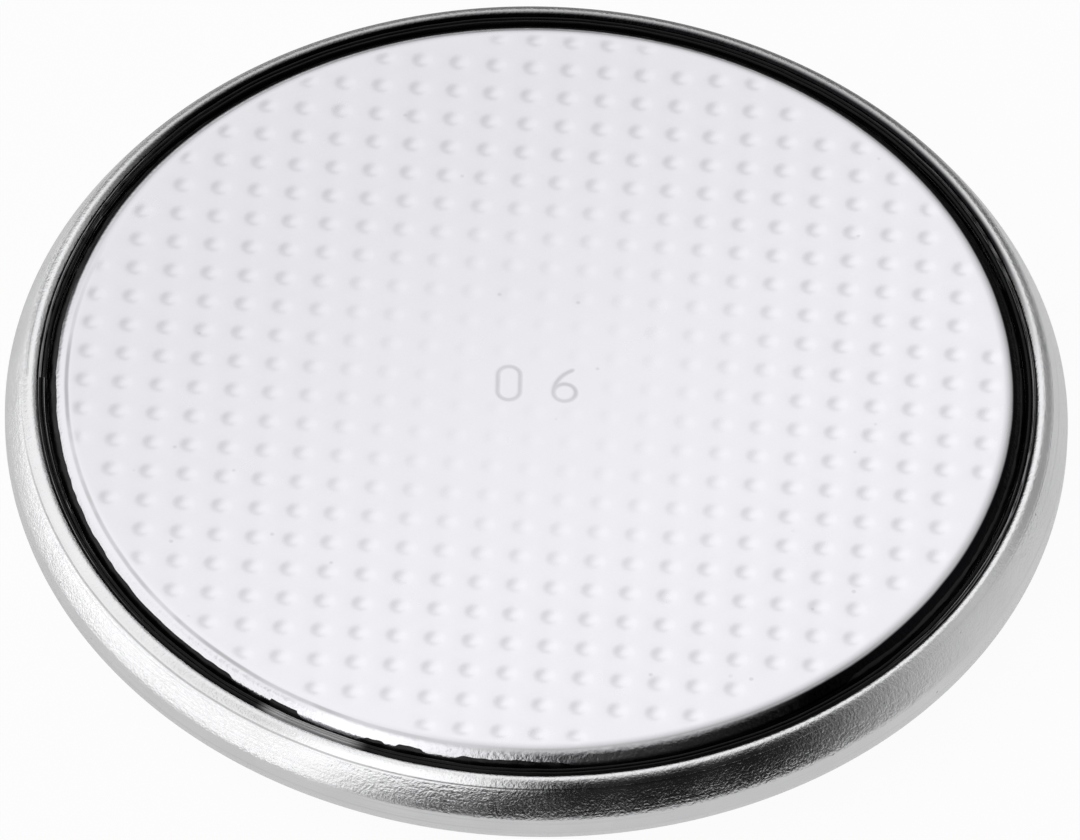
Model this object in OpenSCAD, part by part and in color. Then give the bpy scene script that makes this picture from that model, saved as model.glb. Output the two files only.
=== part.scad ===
// Thin lithium coin cell, 20 mm across and 1.6 mm high, as a real assembly of pressed and moulded pieces.
// It stands on the base of its positive can, with the axis along Z and the dimpled negative cap on top.
// The origin is the centre of the can's flat base. Sections are lists of [radius, height] turned about Z.

/* [Cell] */
// Outside diameter of the finished cell
cell_d = 20; // [18:0.1:24]
// Height from the can's base to the cap's top
cell_h = 1.6; // [1.5:0.05:2.5]

/* [Positive can] */
// Thickness of the can's steel sheet
can_t = 0.25; // [0.2:0.01:0.27]
// Outside radius of the corner between base and wall
can_corner_r = 0.55; // [0.4:0.01:0.65]
// Drop from the cap's top to the top of the straight wall
wall_drop = 0.78; // [0.7:0.01:0.85]
// How far the crimp's crease lies inside the wall
crease_inset = 0.3; // [0.24:0.01:0.36]
// Drop from the cap's top to the crease
crease_drop = 0.25; // [0.21:0.01:0.29]
// Radius of the slight bulge between the wall and the crease
shoulder_r = 4; // [2:0.5:10]
// Radius of the rounded lip between the crease and the opening
lip_r = 0.32; // [0.3:0.01:0.8]
// How far the lip's edge lies inside the wall
lip_inset = 0.58; // [0.54:0.01:0.62]
// Drop from the cap's top to the lip's edge
lip_drop = 0.15; // [0.12:0.01:0.18]
// Rounding of the lip's edge
lip_edge_r = 0.13; // [0.08:0.01:0.14]

/* [Negative cap] */
// Thickness of the cap's steel sheet
cap_t = 0.2; // [0.15:0.01:0.25]
// Width of the groove between the lip and the cap's side
groove_w = 0.29; // [0.27:0.01:0.4]
// Width of the bevelled border outside the cap's flat top
cap_border_w = 0.26; // [0.24:0.01:0.34]
// Slope of the bevel, in degrees from level
cap_bevel_a = 45; // [40:1:50]
// Radius of the soft roll-off between the flat top and the bevel
cap_rolloff_r = 0.25; // [0.15:0.01:0.27]
// Radius of the edge between the bevel and the cap's side
cap_edge_r = 0.1; // [0.05:0.01:0.12]
// Drop from the cap's top to the step that the crimp holds down
step_drop = 0.58; // [0.54:0.01:0.64]
// Inside radius of the corner above the step
step_inner_r = 0.06; // [0.04:0.01:0.1]
// Outside radius of the step's shoulder
step_outer_r = 0.25; // [0.21:0.01:0.3]

/* [Dimples] */
// Distance between neighbouring dimples in a row
dimple_pitch = 0.706; // [0.6:0.001:1.2]
// Distance between neighbouring rows
row_pitch = 0.714; // [0.6:0.001:1.2]
// Diameter of a dimple's rim
dimple_d = 0.42; // [0.3:0.01:0.5]
// Depth of a dimple near the cap's border
dimple_depth = 0.035; // [0.02:0.005:0.08]
// Share of that depth left in the middle of the cap
dimple_middle = 0.2; // [0.1:0.05:1]
// Turn of the dimple rows about the axis, in degrees
dimple_turn = -3.45; // [-45:0.05:45]
// Place of the middle dimple from the axis along X
dimple_x = 0; // [-0.3:0.01:0.3]
// Place of the middle dimple from the axis along Y
dimple_y = 0.03; // [-0.3:0.01:0.3]
// Distance from the end of the flat top to the outermost dimples' middles
dimple_margin = 0.17; // [0.14:0.01:0.4]
// How far the dimpled field is pressed off the axis along X
field_x = -0.06; // [-0.1:0.01:0.1]
// How far the dimpled field is pressed off the axis along Y
field_y = 0.04; // [-0.1:0.01:0.1]

/* [Stamped digits] */
// Height of the two plain digits stamped near the middle
digit_h = 0.9; // [0.7:0.05:1.2]
// Width of one digit
digit_w = 0.5; // [0.4:0.02:0.6]
// Distance between the digits' centres
digit_pitch = 1.05; // [0.8:0.05:1.4]
// Width of the stamped stroke
stroke_w = 0.08; // [0.05:0.01:0.12]
// Depth of the stamped stroke
stroke_depth = 0.02; // [0.01:0.005:0.04]

/* [Gasket and sealant] */
// Thickness of the gasket between the cap's skirt and the can's wall
gasket_t = 0.23; // [0.18:0.01:0.27]
// Thickness of the gasket's foot under the skirt
foot_t = 0.22; // [0.15:0.01:0.3]
// Width of the gasket's foot
foot_w = 1; // [0.8:0.05:1.3]
// Radius of the two fine ridges on the gasket's visible face
ridge_r = 0.04; // [0.03:0.005:0.05]
// Drop from the cap's top to the crests of the ridges
ridge_drop = 0.17; // [0.15:0.01:0.2]
// Drop from the cap's top to where the gasket meets the cap's side
gasket_drop = 0.4; // [0.34:0.01:0.44]
// How far the sealant climbs the rounded edge below the cap's bevel, in degrees from the cap's side
sealant_climb = 35; // [8:1:38]
// Thickness of the sealant on the cap's side
sealant_t = 0.03; // [0.02:0.005:0.05]

/* [Inside] */
// Thickness of the steel gauze under the cathode
gauze_t = 0.1; // [0.06:0.01:0.12]
// How far the gauze's edge lies inside the pellet's
gauze_inset = 0.5; // [0.2:0.1:2]
// Diameter of a hole in the gauze
gauze_hole_d = 1; // [0.6:0.1:1.4]
// Distance between the holes of the gauze
gauze_pitch = 1.7; // [1.6:0.1:2.5]
// Clearance between the manganese dioxide pellet and the gasket's foot
pellet_clear = 0.75; // [0.5:0.05:1.5]
// Clearance between the separator and the gasket's foot
separator_clear = 0.1; // [0.05:0.01:0.4]
// Thickness of the separator
separator_t = 0.14; // [0.08:0.01:0.2]
// How far the lithium disc's edge lies inside the pellet's
anode_inset = 0.1; // [0:0.05:0.5]
// Thickness of the lithium disc
anode_t = 0.26; // [0.15:0.01:0.3]

/* [Hidden] */
$fn = 180;
// Number of short chords in an arc of a section
steps = 8;
// Clearance with which one cutting shape stands out of the surface it cuts
over = 0.1;

can_r = cell_d / 2;
wall_z = cell_h - wall_drop;
crease = [can_r - crease_inset, cell_h - crease_drop];
lip = [can_r - lip_inset, cell_h - lip_drop];
cap_r = lip[0] - groove_w;
flat_r = cap_r - cap_border_w;
step_z = cell_h - step_drop;
skirt_r = can_r - can_t - gasket_t;
skirt_end_z = can_t + foot_t;
foot_r = can_r - can_t - foot_w;
pellet_r = foot_r - pellet_clear;
gauze_r = pellet_r - gauze_inset;
separator_r = foot_r - separator_clear;
anode_r = pellet_r - anode_inset;
gasket_z = cell_h - gasket_drop;
pellet_z = can_t + gauze_t;
anode_z = cell_h - cap_t - anode_t;
separator_z = anode_z - separator_t;

// Points along an arc about c, from angle a0 to a1
function arc(c, r, a0, a1) =
    [for (i = [0:steps]) let (a = a0 + (a1 - a0) * i / steps) c + r * [cos(a), sin(a)]];
function unit(v) = v / norm(v);
function left_of(v) = [-v[1], v[0]];
function heading(p, i) = unit(p[i + 1] - p[i]);
// Direction and length that shift point i of an open path by 1 to its left, with mitred corners
function shift(p, i) =
    i == 0 ? left_of(heading(p, 0)) :
    i == len(p) - 1 ? left_of(heading(p, i - 1)) :
    let (a = left_of(heading(p, i - 1)), b = left_of(heading(p, i))) (a + b) / (1 + a * b);
function offset_path(p, t) = [for (i = [0:len(p) - 1]) p[i] + t * shift(p, i)];
function reversed(p) = [for (i = [len(p) - 1:-1:0]) p[i]];
function tail(p) = [for (i = [1:len(p) - 1]) p[i]];
function angle_of(v) = atan2(v[1], v[0]);

// An arc of radius r from point a to point b, bulging to the right of the way
function bulge(a, b, r) =
    let (c = (a + b) / 2 + left_of(unit(b - a)) * sqrt(r * r - pow(norm(b - a) / 2, 2)))
    arc(c, r, angle_of(a - c), angle_of(b - c));

// Outside of the can; its last point is the corner that the lip's edge would have if it weren't rounded
lip_top = lip + [lip_edge_r, 0];
lip_arc = bulge(crease, lip_top, lip_r);
lip_heading = heading(lip_arc, steps - 1);
can_path = concat(
    [[0, 0]],
    arc([can_r - can_corner_r, can_corner_r], can_corner_r, -90, 0),
    bulge([can_r, wall_z], crease, shoulder_r),
    tail(lip_arc),
    [lip_top + lip_edge_r * lip_heading]);
can_inner = offset_path(can_path, can_t);

// The lip's edge, rounded where the sheet was cut
lip_round_c = lip_top + lip_edge_r * left_of(lip_heading);
lip_round = [for (a = [0:22.5:90])
    lip_round_c + lip_edge_r * (lip_heading * sin(a) - left_of(lip_heading) * cos(a))];

// The cap's border: a soft roll-off, a straight bevel and an edge, all meeting in line
bevel_n = 90 - cap_bevel_a;
bevel_l = (cap_border_w - cap_edge_r * (1 - cos(bevel_n)) - cap_rolloff_r * cos(bevel_n)) / sin(bevel_n);
edge_c = [cap_r - cap_edge_r,
          cell_h - cap_rolloff_r + (cap_rolloff_r - cap_edge_r) * sin(bevel_n) - bevel_l * cos(bevel_n)];
cap_sealed_path = arc(edge_c, cap_edge_r, sealant_climb, 0);
cap_top_path = concat(
    [[0, cell_h]],
    arc([flat_r, cell_h - cap_rolloff_r], cap_rolloff_r, 90, bevel_n),
    arc(edge_c, cap_edge_r, bevel_n, sealant_climb),
    tail(cap_sealed_path));
cap_skirt_path = concat(
    [[cap_r, gasket_z]],
    arc([cap_r + step_inner_r, step_z + step_inner_r], step_inner_r, 180, 270),
    arc([skirt_r - step_outer_r, step_z - step_outer_r], step_outer_r, 90, 0),
    [[skirt_r, skirt_end_z]]);
cap_under_path = concat([[0, cell_h - cap_t], [cap_r - cap_t, cell_h - cap_t]],
                        offset_path(cap_skirt_path, -cap_t));

// The gasket's visible face, from the lip's cut edge to the cap's side
crevice = (can_path[len(can_path) - 1] + can_inner[len(can_inner) - 1]) / 2;
ridge_z = cell_h - ridge_drop - ridge_r;
gasket_face = concat(
    [crevice],
    arc([crevice[0] - ridge_r, ridge_z], ridge_r, 0, 180),
    tail(arc([crevice[0] - 3 * ridge_r, ridge_z], ridge_r, 0, 180)));
ridge_foot = gasket_face[len(gasket_face) - 1];

// Depth of a dimple at distance r from the axis: shallow in the middle, full from two thirds out
function fade(r) = let (t = min(1, r / (flat_r * 0.66))) t * t * (3 - 2 * t);
function depth_at(r) = dimple_depth * (dimple_middle + (1 - dimple_middle) * fade(r));
function clear_of_digits(p) =
    abs(p[0]) > (digit_pitch + digit_w + dimple_d / 2) / 2 || abs(p[1]) > (digit_h + 0.8 * dimple_d) / 2;
function in_field(p) = norm(p - [field_x, field_y]) < flat_r - dimple_margin;

module turned(section) {
    rotate_extrude() polygon(section);
}

// A ring or part of one in the flat, one stroke wide
module stroke_ring(r) {
    difference() {
        circle(r = r + stroke_w / 2, $fn = 48);
        circle(r = r - stroke_w / 2, $fn = 48);
    }
}

// The digit 0: two half rings joined by straight sides
module digit_zero() {
    r = (digit_w - stroke_w) / 2;
    side = digit_h - digit_w;
    for (s = [-1, 1]) {
        intersection() {
            translate([0, s * side / 2]) stroke_ring(r);
            translate([-digit_w, s > 0 ? side / 2 : -side / 2 - digit_h]) square([2 * digit_w, digit_h]);
        }
        translate([s * r - stroke_w / 2, -side / 2]) square([stroke_w, side]);
    }
}

// The digit 6: a round bowl with a stem that curves up from its left side
module digit_six() {
    r = (digit_w - stroke_w) / 2;
    stem_r = digit_h - digit_w / 2 - stroke_w / 2;
    translate([0, -(digit_h - digit_w) / 2]) {
        stroke_ring(r);
        intersection() {
            translate([stem_r - r, 0]) stroke_ring(stem_r);
            translate([-r - stroke_w, 0]) square([digit_w - stroke_w, digit_h]);
        }
    }
}

module positive_can() {
    color([0.74, 0.74, 0.75])
        turned(concat([for (i = [0:len(can_path) - 3]) can_path[i]], lip_round, reversed(can_inner)));
}

// The pit of one dimple, cut by an eight-sided point that is dimple_d wide at its depth above the tip
module dimple(depth) {
    cylinder(h = 2 * depth, r1 = 0, r2 = dimple_d, $fn = 8);
}

module negative_cap() {
    color([0.9, 0.89, 0.92])
    difference() {
        turned(concat(cap_top_path, cap_skirt_path, reversed(cap_under_path)));
        reach = ceil((cap_r + norm([dimple_x, dimple_y])) / min(dimple_pitch, row_pitch));
        for (i = [-reach:reach], j = [-reach:reach]) {
            p = [dimple_x, dimple_y] + i * dimple_pitch * [cos(dimple_turn), sin(dimple_turn)]
                + j * row_pitch * [-sin(dimple_turn), cos(dimple_turn)];
            depth = depth_at(norm(p));
            if (in_field(p) && clear_of_digits(p))
                translate([p[0], p[1], cell_h - depth]) dimple(depth);
        }
        translate([0, 0, cell_h - stroke_depth]) linear_extrude(stroke_depth + over) {
            translate([-digit_pitch / 2, 0]) digit_zero();
            translate([digit_pitch / 2, 0]) digit_six();
        }
    }
}

module gasket() {
    color([0.05, 0.05, 0.055])
        turned(concat([[foot_r, can_t]], tail(can_inner), gasket_face, cap_skirt_path,
                      [[foot_r, skirt_end_z]]));
}

module sealant() {
    slope = unit(ridge_foot - [cap_r, gasket_z]);
    half_climb = [cos(sealant_climb / 2), sin(sealant_climb / 2)];
    color([0.02, 0.02, 0.02])
        turned(concat([[cap_r, gasket_z], [cap_r, gasket_z] + slope * 4 * sealant_t,
                       [cap_r + sealant_t, edge_c[1]], edge_c + (cap_edge_r + sealant_t / 2) * half_climb],
                      cap_sealed_path));
}

module cathode_gauze() {
    row_r = gauze_r - gauze_hole_d / 2;
    reach = floor(row_r / gauze_pitch);
    color([0.6, 0.6, 0.62])
    difference() {
        translate([0, 0, can_t]) cylinder(r = gauze_r, h = gauze_t);
        for (i = [-reach:reach], j = [-reach:reach])
            if (norm([i, j]) * gauze_pitch < row_r - over)
                translate([i * gauze_pitch, j * gauze_pitch, can_t - over])
                    cylinder(d = gauze_hole_d, h = gauze_t + 2 * over, $fn = 24);
    }
}

module cathode_pellet() {
    color([0.13, 0.13, 0.13])
        translate([0, 0, pellet_z]) cylinder(r = pellet_r, h = separator_z - pellet_z);
}

module separator() {
    color([0.95, 0.95, 0.93])
        translate([0, 0, separator_z]) cylinder(r = separator_r, h = separator_t);
}

module lithium_anode() {
    color([0.78, 0.79, 0.82])
        translate([0, 0, anode_z]) cylinder(r = anode_r, h = anode_t);
}

positive_can();
negative_cap();
gasket();
sealant();
cathode_gauze();
cathode_pellet();
separator();
lithium_anode();
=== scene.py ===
"""Looks of a thin lithium coin cell, 20 mm across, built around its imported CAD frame.

The sections are lists of [radius, height] in millimetres, carried round the cell's axis. The flat
of the cap is a height field over points that follow its dimples and its stamped digits.
"""
import math

import bmesh
import bpy
import numpy as np
from mathutils import Matrix, Vector
from mathutils.geometry import delaunay_2d_cdt


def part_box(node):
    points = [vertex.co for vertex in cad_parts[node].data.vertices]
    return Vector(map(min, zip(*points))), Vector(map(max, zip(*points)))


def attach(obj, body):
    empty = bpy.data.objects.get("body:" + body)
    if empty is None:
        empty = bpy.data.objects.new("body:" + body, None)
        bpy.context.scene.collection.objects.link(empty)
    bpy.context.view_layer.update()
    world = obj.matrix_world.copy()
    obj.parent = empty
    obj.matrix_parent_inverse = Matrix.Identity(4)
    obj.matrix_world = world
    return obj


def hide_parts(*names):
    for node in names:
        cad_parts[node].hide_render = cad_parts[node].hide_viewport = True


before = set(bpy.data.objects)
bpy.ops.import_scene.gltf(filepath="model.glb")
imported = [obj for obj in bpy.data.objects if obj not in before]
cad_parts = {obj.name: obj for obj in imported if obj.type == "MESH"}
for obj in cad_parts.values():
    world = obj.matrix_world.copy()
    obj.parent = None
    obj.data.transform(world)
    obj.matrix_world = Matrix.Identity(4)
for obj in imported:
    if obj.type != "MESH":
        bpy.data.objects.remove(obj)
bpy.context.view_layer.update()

MM = 0.001
TURN = 2 * math.pi
rng = np.random.default_rng(16)

# ---------------------------------------------------------------- sizes, in millimetres

can_high = np.array(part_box("positive_can")[1]) / MM
cap_low, cap_high = (np.array(c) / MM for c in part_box("negative_cap"))
gasket_low, gasket_high = (np.array(c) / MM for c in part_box("gasket"))

CELL_H = cap_high[2]                # height of the cap's flat top
CAN_R = can_high[0]                 # outside radius of the can
CAN_T = gasket_low[2]               # the sheet: the gasket stands on the can's inner face
CAN_CORNER_R = 0.55                 # corner between base and wall
WALL_DROP = 0.78                    # all drops are measured down from the cap's top
WALL_BEND_R = 0.05                  # how far below the wall's top the softened bend starts
CREASE = np.array([CAN_R - 0.3, CELL_H - 0.25])
SHOULDER_R = 4.0
LIP = np.array([CAN_R - 0.58, CELL_H - 0.15])
LIP_R = 0.32
LIP_EDGE_R = 0.13
SCORE_W = 0.02                      # half width of the fine score along the crease
SCORE_DEPTH = 0.004
SCORE_SINK = 0.0012                 # how far its edges lie below the crease's corner

CAP_R = LIP[0] - 0.29               # side of the cap in the groove
CAP_T = 0.2
FLAT_R = CAP_R - 0.26
SAG_R = FLAT_R - 0.12               # the flat starts to fall gently here, before the bevel's round
SAG_ANGLE = math.radians(12)        # its slope at the flat's border
ROLLOFF_R = 0.35
CAP_EDGE_R = 0.1
STEP_Z = CELL_H - 0.58
STEP_INNER_R = 0.06
STEP_OUTER_R = 0.25
SKIRT_R = cap_high[0]
SKIRT_END_Z = cap_low[2]

DIMPLE_PITCH = 0.706                # between neighbours in a row
ROW_PITCH = 0.714
DIMPLE_R = 0.24
DIMPLE_RINGS = DIMPLE_R * np.array([0.2, 0.4, 0.6, 0.8, 1.0])
RING_POINTS = 16
DIMPLE_DEPTH = 0.0287               # near the border
DIMPLE_MIDDLE = 0.2                 # share of that depth in the middle of the cap
DIMPLES_GROW = FLAT_R * np.array([0.1, 0.7])    # radii between which they reach their full depth
DIMPLES_FADE = FLAT_R - np.array([0.3, 0.005])  # and between which they run out at the border
DIMPLE_TURN = math.radians(-3.45)
DIMPLE_AT = np.array([0, 0.03])     # the middle dimple's place
FIELD_AT = np.array([-0.06, 0.04])  # middle of the circle that the dimples fill
FIELD_R = FLAT_R - 0.17

DIGIT_H = 0.9
DIGIT_W = 0.5
DIGIT_PITCH = 1.05
STROKE_W = 0.08
STROKE_DEPTH = 0.005
DIGITS_HALF = np.array([DIGIT_PITCH + DIGIT_W, DIGIT_H]) / 2
DIGITS_CLEAR = np.array([0.105, 0.168])         # bare metal beside and above the digits
DIGIT_STEP = 0.022                  # between points over the digits
FIELD_STEP = 0.23                   # between points elsewhere on the flat

GASKET_FOOT_R = CAN_R - CAN_T - 1.0
GASKET_Z = CELL_H - 0.40            # where the gasket meets the cap's side
RIDGE_R = 0.04
RIDGE_Z = gasket_high[2] - RIDGE_R

SEALANT_DROP = 0.15                 # of its ragged upper edge, where nothing lifts or sinks it
SEALANT_T = 0.022
SEALANT_MIN_T = 0.006
SEALANT_FOOT = 0.07                 # width of its foot on the gasket
# Patches left by hand at the front: first and last angle, the angle that an end takes, and the lift
SEALANT_LUMPS = [(233.5, 261.0, 1.5, -0.06), (238.2, 241.8, 0.3, 0.05),
                 (251.0, 252.6, 0.9, 0.045), (254.9, 257.2, 1.0, 0.065)]
# Where it is sunk to one level: first and last angle, the angle that an end takes, and the drop
SEALANT_SUNK = [(242.6, 249.6, 0.5, 0.27), (276.0, 309.0, 3.0, 0.24)]

ROUND = 720                         # segments round the axis

# ---------------------------------------------------------------- curves in the section plane


def arc(centre, r, a0, a1, n):
    """Points of a circle of radius r about centre, at n + 1 even angles from a0 to a1 degrees."""
    a = np.radians(np.linspace(a0, a1, n + 1))
    return np.stack([centre[0] + r * np.cos(a), centre[1] + r * np.sin(a)], -1)


def left_of(v):
    """The vector turned a quarter turn to the left, at length 1."""
    return np.array([-v[1], v[0]]) / np.linalg.norm(v)


def angle_of(v):
    """Angle of a vector from the first axis, in degrees."""
    return math.degrees(math.atan2(v[1], v[0]))


def bulge(a, b, r, n):
    """Arc of radius r from a to b whose centre lies to the left of the way, so that it bulges to
    the right."""
    half = np.linalg.norm(b - a) / 2
    c = (a + b) / 2 + left_of(b - a) * math.sqrt(r * r - half * half)
    return arc(c, r, angle_of(a - c), angle_of(b - c), n)


def inward(path, t):
    """The open path moved t to its left, each point along the mean of its two neighbouring normals,
    mitred."""
    way = np.diff(path, axis=0)
    normal = np.stack([-way[:, 1], way[:, 0]], -1) / np.linalg.norm(way, axis=1)[:, None]
    a = np.vstack([normal[:1], normal])
    b = np.vstack([normal, normal[-1:]])
    return path + t * (a + b) / (1 + (a * b).sum(1))[:, None]


# ---------------------------------------------------------------- meshes


def smooth_step(low, high, x):
    """0 below low, 1 above high, and 3 t^2 - 2 t^3 between them."""
    t = np.clip((x - low) / (high - low), 0, 1)
    return t * t * (3 - 2 * t)


def circles(radii, count):
    """Points (r cos t, r sin t) at count even angles t, for each radius r."""
    t = np.arange(count) * TURN / count
    return np.stack([np.outer(radii, np.cos(t)), np.outer(radii, np.sin(t))], -1).reshape(-1, 2)


def ring_wave(angle, waves, size):
    """A smooth random line round the axis: a sum of cosines of whole numbers of turns, with random
    weights and phases, about size high."""
    turns = np.arange(1, waves + 1)
    phase = rng.uniform(0, TURN, waves)
    weight = rng.normal(0, 1, waves) / np.sqrt(waves)
    return size * (weight * np.cos(angle[..., None] * turns + phase)).sum(-1)


def carried(section, shift=None, closed=True):
    """A section carried round the axis: (r, z) goes to (r cos t, r sin t, z) at ROUND even angles
    t. shift(t, r, z) may return small offsets of r and z. A point on the axis becomes one pole, and
    a closed section without poles is joined from its last point to its first."""
    t = (np.arange(ROUND) * TURN / ROUND)[:, None]
    r = np.broadcast_to(section[:, 0], (ROUND, len(section)))
    z = np.broadcast_to(section[:, 1], (ROUND, len(section)))
    if shift is not None:
        dr, dz = shift(t, r, z)
        r, z = r + dr, z + dz
    grid = np.stack([r * np.cos(t), r * np.sin(t), z], -1)
    index = np.arange(ROUND * len(section)).reshape(ROUND, -1)
    pole = section[:, 0] < 1e-9
    index[:, pole] = index[0, pole]
    a, b = index, np.roll(index, -1, 0)
    quads = np.stack([a[:, :-1], b[:, :-1], b[:, 1:], a[:, 1:]], -1).reshape(-1, 4)
    if closed and not pole.any():
        seam = np.stack([a[:, -1], b[:, -1], b[:, 0], a[:, 0]], -1)
        quads = np.vstack([quads, seam])
    return grid.reshape(-1, 3), quads


def piece(name, points, faces, material, node, slot, sharp):
    """A mesh object from points in millimetres and index rows, in the root body, in place of the
    node that it replaces; the slot is not used. A -1 or a repeated index shortens a face, and edges
    over sharp degrees stay crisp."""
    used, place = np.unique(faces[faces >= 0], return_inverse=True)
    rows = faces.copy()
    rows[faces >= 0] = place
    polygons = []
    for row in rows.tolist():
        corners = [c for k, c in enumerate(row) if c >= 0 and c != row[k - 1]]
        if len(corners) > 2:
            polygons.append(corners)
    mesh = bpy.data.meshes.new(name)
    mesh.from_pydata((points[used] * MM).tolist(), [], polygons)
    finish_mesh(mesh, sharp)
    mesh.materials.append(material)
    made = bpy.data.objects.new(name, mesh)
    bpy.context.scene.collection.objects.link(made)
    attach(made, "root")
    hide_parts(node)
    return made


def mark_strokes(made):
    """Marks each point of the cap with 1 on the centre line of a stamped stroke, falling to 0 at
    its edge, and with 0 on the underside."""
    at = np.empty(3 * len(made.data.vertices), np.float32)
    made.data.vertices.foreach_get("co", at)
    at = at.reshape(-1, 3) / MM
    away = digit_distance(at[:, 0], at[:, 1])
    mark = 1 - smooth_step(0.2 * STROKE_W, 0.8 * STROKE_W, away)
    mark *= at[:, 2] > CELL_H - CAP_T / 2
    stroke = made.data.attributes.new("Stroke", "FLOAT", "POINT")
    stroke.data.foreach_set("value", mark.astype(np.float32))


def finish_mesh(mesh, sharp):
    """Merges doubles, turns all faces outwards and shades smoothly up to the sharp angle."""
    work = bmesh.new()
    work.from_mesh(mesh)
    bmesh.ops.remove_doubles(work, verts=work.verts, dist=1e-7)
    bmesh.ops.recalc_face_normals(work, faces=work.faces)
    work.to_mesh(mesh)
    work.free()
    mesh.shade_smooth()
    mesh.set_sharp_from_angle(angle=math.radians(sharp))


# ---------------------------------------------------------------- the positive can


def can_path(n):
    """Outside of the can from its base's centre to the lip's corner before rounding, with n chords
    in an arc, as in the frame."""
    lip = bulge(CREASE, LIP + [LIP_EDGE_R, 0], LIP_R, n)
    heading = (lip[-1] - lip[-2]) / np.linalg.norm(lip[-1] - lip[-2])
    return np.vstack([
        [[0, 0]],
        arc([CAN_R - CAN_CORNER_R, CAN_CORNER_R], CAN_CORNER_R, -90, 0, n),
        bulge(np.array([CAN_R, CELL_H - WALL_DROP]), CREASE, SHOULDER_R, n),
        lip[1:], [lip[-1] + LIP_EDGE_R * heading]])


can_inner = inward(can_path(8), CAN_T)
crevice = (can_path(8)[-1] + can_inner[-1]) / 2     # middle of the lip's cut edge


def can_section():
    """Closed section of the can: the outside with a softened bend above the wall and a fine score
    at the crease, the lip's rounded cut edge, and the inside back to the axis. The bend is a
    parabola from the wall to the shoulder with its corner as its middle point. The score is
    1 - w^2 deep at share w of its half width."""
    n = 18
    path = can_path(n)
    bend, crease = n + 2, 2 * n + 2
    at, after = path[bend], path[bend + 3]
    t = np.linspace(0, 1, 9)[:, None]
    start = at - [0, WALL_BEND_R]
    bent = (1 - t) ** 2 * start + 2 * t * (1 - t) * at + t ** 2 * after
    into = left_of(path[crease + 1] - path[crease - 1])
    along = np.array([into[1], -into[0]])
    offsets = np.array([-1.0, -0.6, -0.25, 0.0, 0.25, 0.6, 1.0])
    score = path[crease] + SCORE_W * offsets[:, None] * along
    score += into * (SCORE_DEPTH * (1 - offsets ** 2) + SCORE_SINK)[:, None]
    heading = (path[-1] - path[-2]) / LIP_EDGE_R
    side = left_of(heading)
    a = np.radians(np.linspace(0, 90, 9))[:, None]
    edge = path[-2] + LIP_EDGE_R * (side + heading * np.sin(a) - side * np.cos(a))
    return np.vstack([path[:bend], bent, path[bend + 4:crease], score, path[crease + 1:-2], edge,
                      can_inner[::-1]])


# ---------------------------------------------------------------- the negative cap

HALF = math.sqrt(0.5)               # sine and cosine of the bevel's 45 degrees
SAG = (FLAT_R - SAG_R) * math.tan(SAG_ANGLE) / 2
ROLLOFF_C = np.array([FLAT_R - ROLLOFF_R * math.sin(SAG_ANGLE),
                      CELL_H - SAG - ROLLOFF_R * math.cos(SAG_ANGLE)])
BEVEL = (CAP_R - CAP_EDGE_R * (1 - HALF) - ROLLOFF_C[0] - ROLLOFF_R * HALF) / HALF
EDGE_C = ROLLOFF_C + (ROLLOFF_R - CAP_EDGE_R) * HALF + BEVEL * HALF * np.array([1, -1])


def cap_skirt_path(n):
    """Outside of the cap below the sealed groove: side, step and skirt, as in the frame."""
    return np.vstack([
        [[CAP_R, GASKET_Z]],
        arc([CAP_R + STEP_INNER_R, STEP_Z + STEP_INNER_R], STEP_INNER_R, 180, 270, n),
        arc([SKIRT_R - STEP_OUTER_R, STEP_Z - STEP_OUTER_R], STEP_OUTER_R, 90, 0, n),
        [[SKIRT_R, SKIRT_END_Z]]])


def cap_rim():
    """Open section of the cap from the border of its flat, over the bevel and down the side, to the
    end of the skirt and back along the underside to the axis."""
    side = np.linspace(EDGE_C[1], GASKET_Z, 8)[1:-1]
    under = inward(cap_skirt_path(8), -CAP_T)[::-1]
    return np.vstack([
        arc(ROLLOFF_C, ROLLOFF_R, 90 - math.degrees(SAG_ANGLE), 45, 12),
        arc(EDGE_C, CAP_EDGE_R, 45, 0, 6),
        np.stack([np.full(len(side), CAP_R), side], -1),
        cap_skirt_path(8), under, [[CAP_R - CAP_T, CELL_H - CAP_T], [0, CELL_H - CAP_T]]])


def dimple_centres():
    """Centres of the dimples: a nearly square lattice, turned a little, inside their circle and
    clear of the digits."""
    reach = math.ceil((CAP_R + 1) / DIMPLE_PITCH)
    i, j = np.mgrid[-reach:reach + 1, -reach:reach + 1]
    x, y = i * DIMPLE_PITCH, j * ROW_PITCH
    c, s = math.cos(DIMPLE_TURN), math.sin(DIMPLE_TURN)
    at = DIMPLE_AT + np.stack([x * c - y * s, x * s + y * c], -1).reshape(-1, 2)
    inside = np.hypot(*(at - FIELD_AT).T) < FIELD_R
    clear = (abs(at) > DIGITS_HALF + DIGITS_CLEAR).any(1)
    return at[inside & clear]


def dimple_depth(at):
    """Depth of the dimples centred at those points: shallow in the middle, growing outwards."""
    grown = smooth_step(*DIMPLES_GROW, np.hypot(*at.T))
    return DIMPLE_DEPTH * (DIMPLE_MIDDLE + (1 - DIMPLE_MIDDLE) * grown)


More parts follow.
